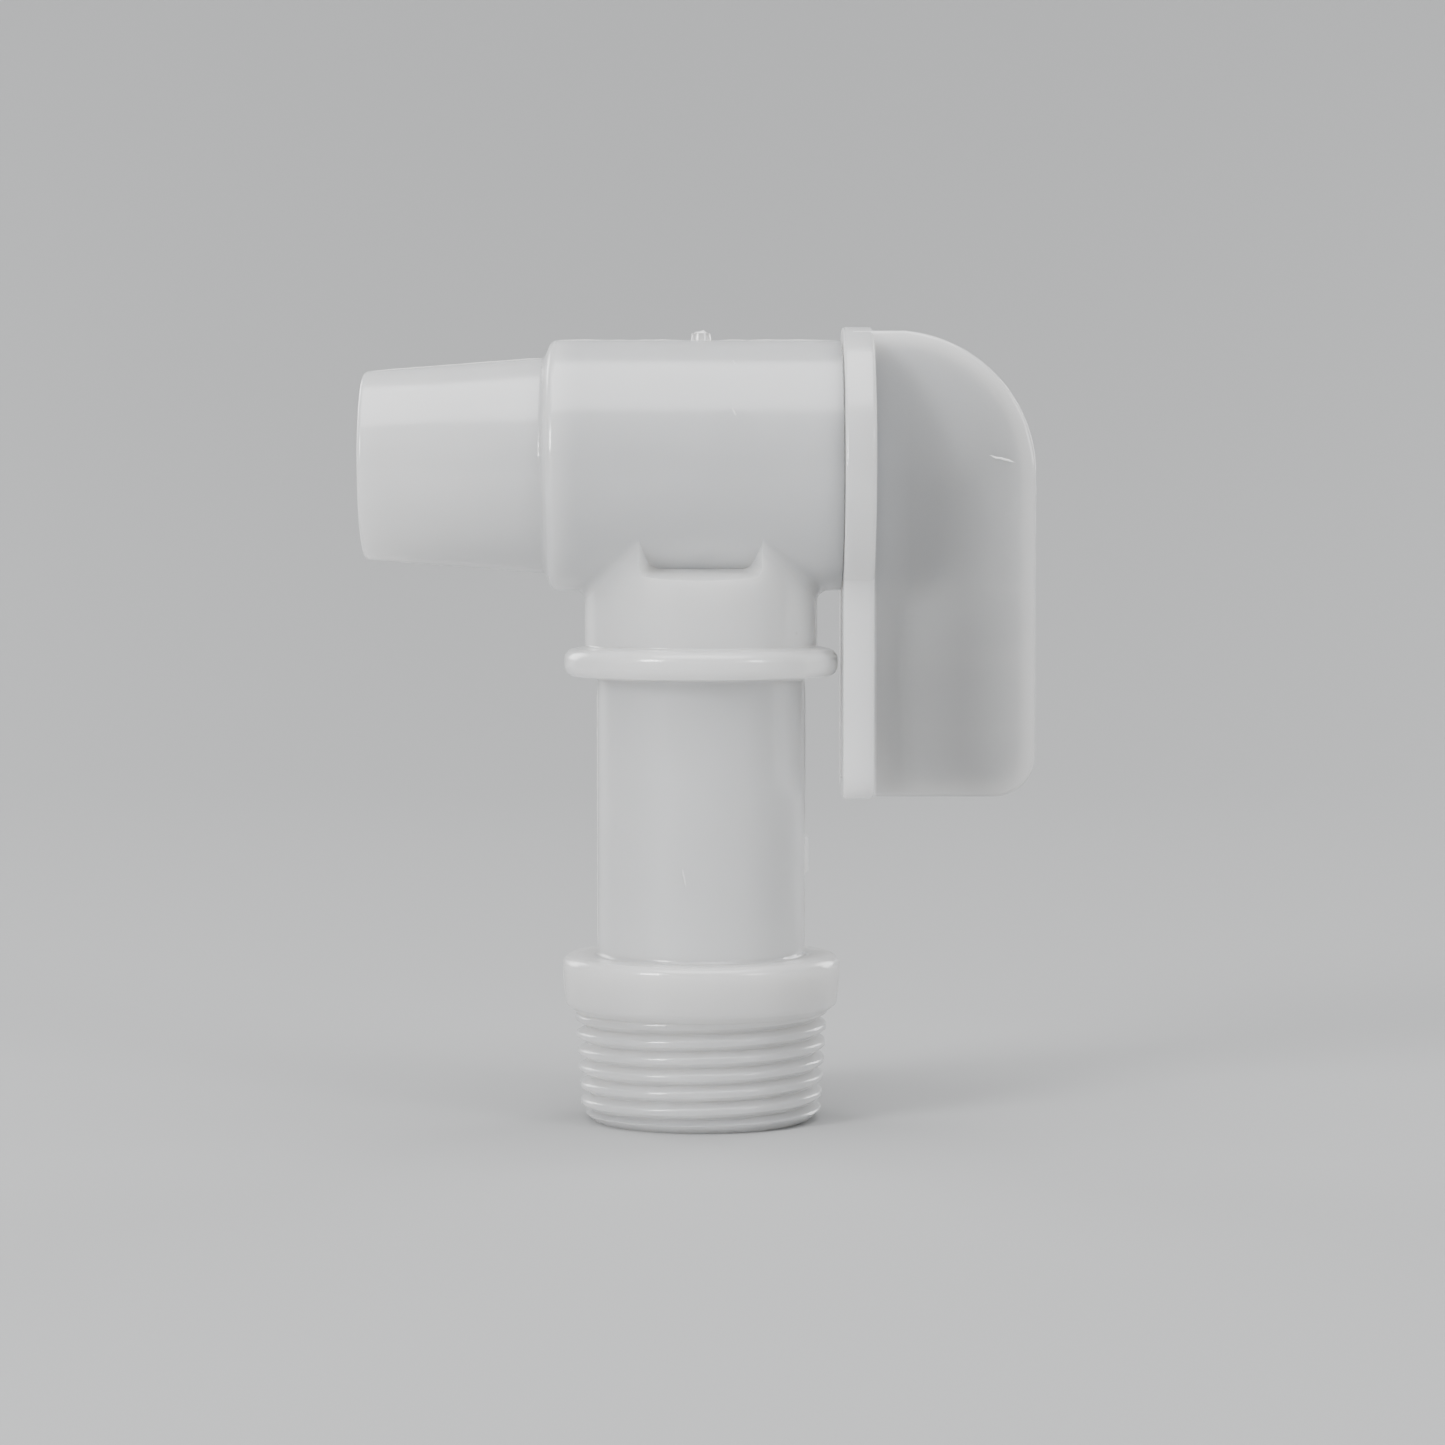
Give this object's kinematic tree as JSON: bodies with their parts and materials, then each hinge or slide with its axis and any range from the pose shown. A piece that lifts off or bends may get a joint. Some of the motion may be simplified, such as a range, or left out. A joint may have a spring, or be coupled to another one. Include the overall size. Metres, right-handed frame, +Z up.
{
  "type": "drum faucet",
  "caption": "Plastic right-angle drum faucet with a tapered pipe-thread inlet, tapered spout and hollow quarter-turn plug worked by a lever handle.",
  "frame": {"origin": "centre of the inlet end face, on the stem axis", "axes": "+Z up the stem from the inlet to the barrel, +X along the barrel towards the handle, +Y across the barrel"},
  "size_m": [0.0717, 0.0298, 0.0852],
  "materials": {
    "natural_polyethylene": "waxy, slightly translucent natural polyethylene, as moulded",
    "seal_rubber": "smooth black synthetic rubber"
  },
  "bodies": {
    "housing": {"faucet_body": "natural_polyethylene", "port_seal": "seal_rubber"},
    "valve_plug": {"rotor_plug": "natural_polyethylene", "lever_handle": "natural_polyethylene", "o_ring_spout_side": "seal_rubber", "o_ring_handle_side": "seal_rubber"}
  },
  "joints": [
    {"name": "lever_turn", "type": "hinge", "parent": "housing", "child": "valve_plug", "pos_m": [0, 0, 0.0704], "axis": [1, 0, 0], "continuous": true}
  ]
}
